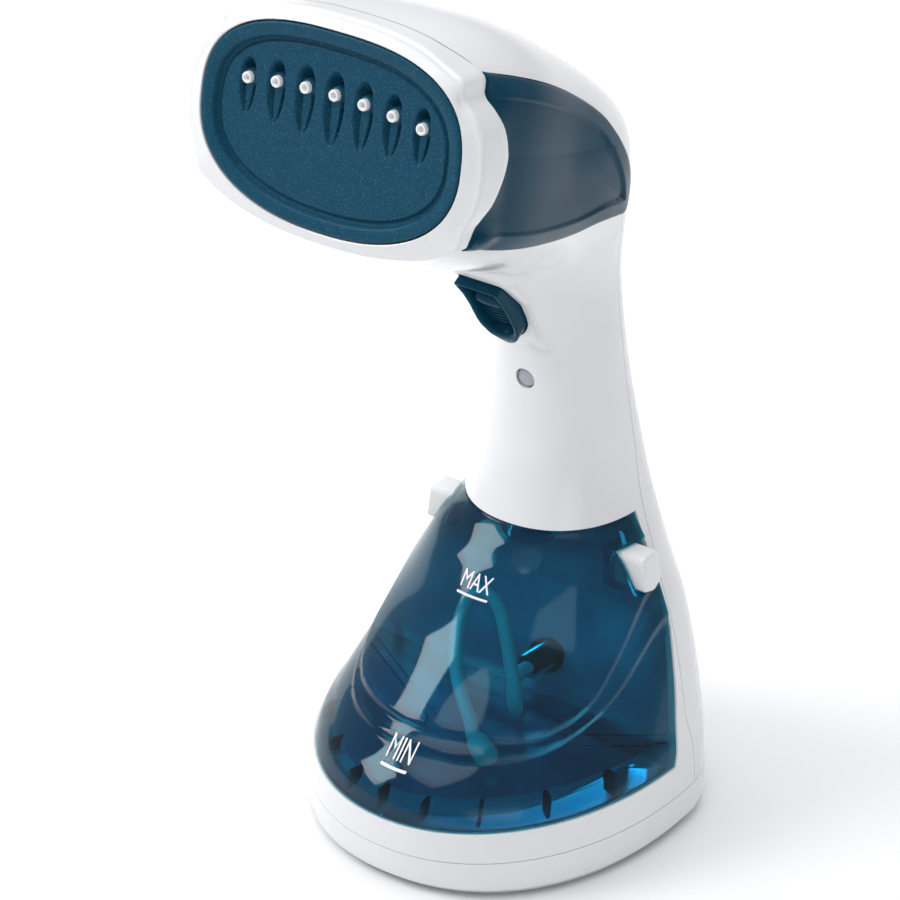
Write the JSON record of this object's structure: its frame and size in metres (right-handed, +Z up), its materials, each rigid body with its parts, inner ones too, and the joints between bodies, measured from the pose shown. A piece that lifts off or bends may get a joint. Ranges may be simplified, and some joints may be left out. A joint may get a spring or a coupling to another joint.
{
  "type": "garment steamer",
  "caption": "Hand-held garment steamer with a wide oval steam plate, slim neck with a trigger, and a removable translucent water tank in its standing base.",
  "frame": {"origin": "bottom centre of the whole part, on the surface that the rubber feet stand on", "axes": "+Z up, -Y out of the steam plate, +X to the right of somebody who looks at the plate from the front; X = 0 is the plane of symmetry of the housing"},
  "size_m": [0.1176, 0.1428, 0.2805],
  "materials": {
    "white_shell": "glossy white moulding",
    "petrol_trim": "glossy petrol-blue moulding",
    "ceramic_plate": "petrol-blue ceramic coating with fine metallic flakes",
    "clear_tank": "petrol-blue translucent plastic",
    "teal_silicone": "soft teal silicone",
    "cast_chamber": "as cast",
    "steel": "plain",
    "brass": "plain",
    "grey_rubber": "matte",
    "black_plastic": "matte",
    "natural_plastic": "matte natural nylon",
    "board": "green solder mask",
    "smoked_lens": "smoked clear plastic",
    "clear_hose": "clear silicone"
  },
  "bodies": {
    "housing": {"front_shell": "white_shell", "rear_cover": "white_shell", "base_cup": "white_shell", "bezel": "white_shell", "side_panel_left": "petrol_trim", "side_panel_right": "petrol_trim", "soleplate": "ceramic_plate", "nozzle_1": "white_shell", "nozzle_2": "white_shell", "nozzle_3": "white_shell", "nozzle_4": "white_shell", "nozzle_5": "white_shell", "nozzle_6": "white_shell", "nozzle_7": "white_shell", "steam_chamber": "cast_chamber", "chamber_cover": "steel", "heating_element": "steel", "trigger_pin": "steel", "trigger_spring": "steel", "base_screw_1": "steel", "base_screw_2": "steel", "base_screw_3": "steel", "base_screw_4": "steel", "cover_screw_1": "steel", "cover_screw_2": "steel", "thermal_fuse": "brass", "plate_gasket": "grey_rubber", "inlet_socket": "grey_rubber", "cord_gland": "grey_rubber", "foot_1": "grey_rubber", "foot_2": "grey_rubber", "foot_3": "grey_rubber", "foot_4": "grey_rubber", "thermostat": "black_plastic", "micro_switch": "black_plastic", "pump": "black_plastic", "trigger_bracket": "natural_plastic", "pump_bracket": "natural_plastic", "cable_clamp": "natural_plastic", "terminal_block": "natural_plastic", "circuit_board": "board", "indicator_lens": "smoked_lens", "indicator_led": "smoked_lens", "feed_hose": "clear_hose", "riser_hose": "clear_hose"},
    "tank": {"water_tank": "clear_tank", "tank_spout": "grey_rubber", "suction_hose": "teal_silicone", "hose_weight": "grey_rubber", "latch_spring_left": "steel", "latch_spring_right": "steel"},
    "plug": {"filler_plug": "grey_rubber"},
    "latch_button_left": {"latch_left": "white_shell"},
    "latch_button_right": {"latch_right": "white_shell"},
    "trigger_lever": {"trigger": "petrol_trim"},
    "lock": {"lock_slider": "petrol_trim"}
  },
  "joints": [
    {"name": "tank_pull", "type": "slide", "parent": "housing", "child": "tank", "axis": [0, -1, 0], "range_m": [0, 0.125]},
    {"name": "plug_pull", "type": "slide", "parent": "tank", "child": "plug", "axis": [0, 0, 1], "range_m": [0, 0.012]},
    {"name": "latch_left_press", "type": "slide", "parent": "tank", "child": "latch_button_left", "axis": [1, 0, 0], "range_m": [0, 0.003], "stiffness_N_per_m": 600, "springref_m": -0.004, "deforming": ["latch_spring_left"]},
    {"name": "latch_right_press", "type": "slide", "parent": "tank", "child": "latch_button_right", "axis": [-1, 0, 0], "range_m": [0, 0.003], "stiffness_N_per_m": 600, "springref_m": -0.004, "deforming": ["latch_spring_right"]},
    {"name": "trigger_squeeze", "type": "hinge", "parent": "housing", "child": "trigger_lever", "pos_m": [0, 0.0202, 0.18206], "axis": [1, 0, 0], "range_deg": [0, 4.5], "stiffness_Nm_per_rad": 1.5, "springref_deg": -2.86, "deforming": ["trigger_spring"]},
    {"name": "lock_slide", "type": "slide", "parent": "trigger_lever", "child": "lock", "axis": [0, -0.4384, 0.8988], "range_m": [0, 0.003]}
  ]
}
